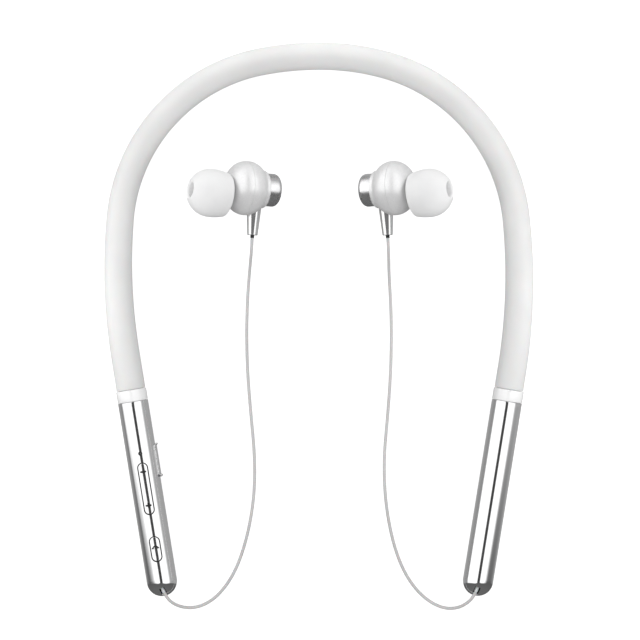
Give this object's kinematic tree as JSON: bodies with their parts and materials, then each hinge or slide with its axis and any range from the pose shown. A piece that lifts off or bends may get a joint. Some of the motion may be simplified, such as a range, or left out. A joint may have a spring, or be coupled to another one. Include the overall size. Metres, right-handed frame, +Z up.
{
  "type": "neckband earphones",
  "caption": "U-shaped silicone neckband with a polished metal-look barrel on each arm, side keys, charging port, and magnetic earbuds with soft tips on thin cords.",
  "frame": {"origin": "centre of the bounding box of the object without its cords, on the surface it lies on", "axes": "+X towards the right arm, +Y towards the back of the neck, +Z up from the surface it lies on"},
  "size_m": [0.133, 0.1762, 0.0213],
  "materials": {
    "white_silicone": "soft matte white silicone",
    "polished_shell": "mirror-polished electroplated shell",
    "collar_white": "high-gloss white",
    "bud_white": "satin pearl white",
    "tip_silicone": "translucent milky silicone",
    "cord_white": "satin white elastomer",
    "cap_chrome": "mirror-polished",
    "spring_steel": "drawn wire",
    "port_steel": "stamped and nickel plated",
    "pcb_green": "solder-masked laminate",
    "black_plastic": "moulded",
    "light_pipe": "clear moulded polycarbonate",
    "led_white": "clear epoxy over a white die",
    "harness_grey": "jacketed wire bundle",
    "cell_foil": "wrapped can",
    "foam_black": "closed-cell foam",
    "magnet_nickel": "nickel plated",
    "diaphragm_film": "thin polymer film",
    "mesh_steel": "fine woven mesh",
    "module_shield": "tinned shield can"
  },
  "bodies": {
    "neckband": {"silicone_band": "white_silicone", "memory_wire": "spring_steel", "harness_cable": "harness_grey"},
    "left_arm": {"left_collar": "collar_white", "left_barrel_front": "polished_shell", "left_barrel_back": "polished_shell", "main_pcb": "pcb_green", "bluetooth_module": "module_shield", "status_led": "led_white", "led_light_pipe": "light_pipe", "call_switch": "black_plastic", "call_switch_cap": "white_silicone", "microphone": "module_shield", "usb_port_shell": "port_steel", "usb_port_tongue": "black_plastic", "volume_switches": "black_plastic", "volume_switch_caps": "white_silicone", "left_strain_relief": "cord_white", "left_cord": "cord_white"},
    "right_arm": {"right_collar": "collar_white", "right_barrel_front": "polished_shell", "right_barrel_back": "polished_shell", "battery_cell": "cell_foil", "battery_foam_pads": "foam_black", "battery_protection_board": "pcb_green", "right_strain_relief": "cord_white", "right_cord": "cord_white"},
    "volume_key": {"volume_rocker": "polished_shell"},
    "call_key": {"call_button": "polished_shell"},
    "port_flap": {"charging_port_cover": "polished_shell"},
    "left_bud": {"left_bud_back_shell": "bud_white", "left_bud_cap": "cap_chrome", "left_bud_diaphragm": "diaphragm_film", "left_bud_driver": "port_steel", "left_bud_front_shell": "bud_white", "left_bud_grommet": "black_plastic", "left_bud_magnet": "magnet_nickel", "left_bud_mesh": "mesh_steel", "left_bud_stem": "cap_chrome"},
    "left_tip": {"left_eartip": "tip_silicone"},
    "right_bud": {"right_bud_back_shell": "bud_white", "right_bud_cap": "cap_chrome", "right_bud_diaphragm": "diaphragm_film", "right_bud_driver": "port_steel", "right_bud_front_shell": "bud_white", "right_bud_grommet": "black_plastic", "right_bud_magnet": "magnet_nickel", "right_bud_mesh": "mesh_steel", "right_bud_stem": "cap_chrome"},
    "right_tip": {"right_eartip": "tip_silicone"}
  },
  "joints": [
    {"name": "left_arm_flex", "type": "hinge", "parent": "neckband", "child": "left_arm", "pos_m": [-0.0415, 0.0488, 0.00485], "axis": [0, 0, -1], "range_deg": [-4, 12], "stiffness_Nm_per_rad": 1, "deforming": ["silicone_band", "memory_wire", "harness_cable"]},
    {"name": "left_bud_swing", "type": "hinge", "parent": "left_arm", "child": "left_bud", "pos_m": [-0.02095, 0.02515, 0.00732], "axis": [0, 0, 1], "range_deg": [-25, 25], "deforming": ["left_cord"]},
    {"name": "left_eartip_pull", "type": "slide", "parent": "left_bud", "child": "left_tip", "axis": [-0.8902, 0.1278, 0.4372], "range_m": [0, 0.008]},
    {"name": "right_arm_flex", "type": "hinge", "parent": "neckband", "child": "right_arm", "pos_m": [0.0415, 0.0488, 0.00485], "axis": [0, 0, 1], "range_deg": [-4, 12], "stiffness_Nm_per_rad": 1, "deforming": ["silicone_band", "memory_wire", "harness_cable"]},
    {"name": "right_bud_swing", "type": "hinge", "parent": "right_arm", "child": "right_bud", "pos_m": [0.02095, 0.02515, 0.00732], "axis": [0, 0, 1], "range_deg": [-25, 25], "deforming": ["right_cord"]},
    {"name": "right_eartip_pull", "type": "slide", "parent": "right_bud", "child": "right_tip", "axis": [0.8902, 0.1278, 0.4372], "range_m": [0, 0.008]},
    {"name": "volume_rock", "type": "hinge", "parent": "left_arm", "child": "volume_key", "pos_m": [-0.05366, -0.05225, 0.007], "axis": [0.9873, 0.159, 0], "range_deg": [-2, 2], "stiffness_Nm_per_rad": 0.12, "deforming": ["volume_switch_caps"]},
    {"name": "call_press", "type": "slide", "parent": "left_arm", "child": "call_key", "axis": [0, 0, -1], "range_m": [0, 0.00025], "stiffness_N_per_m": 4000, "springref_m": -0.0001, "deforming": ["call_switch_cap"]},
    {"name": "port_cover_open", "type": "hinge", "parent": "left_arm", "child": "port_flap", "pos_m": [-0.04911, -0.04825, 0.0047], "axis": [0, 0, -1], "range_deg": [0, 100]}
  ]
}
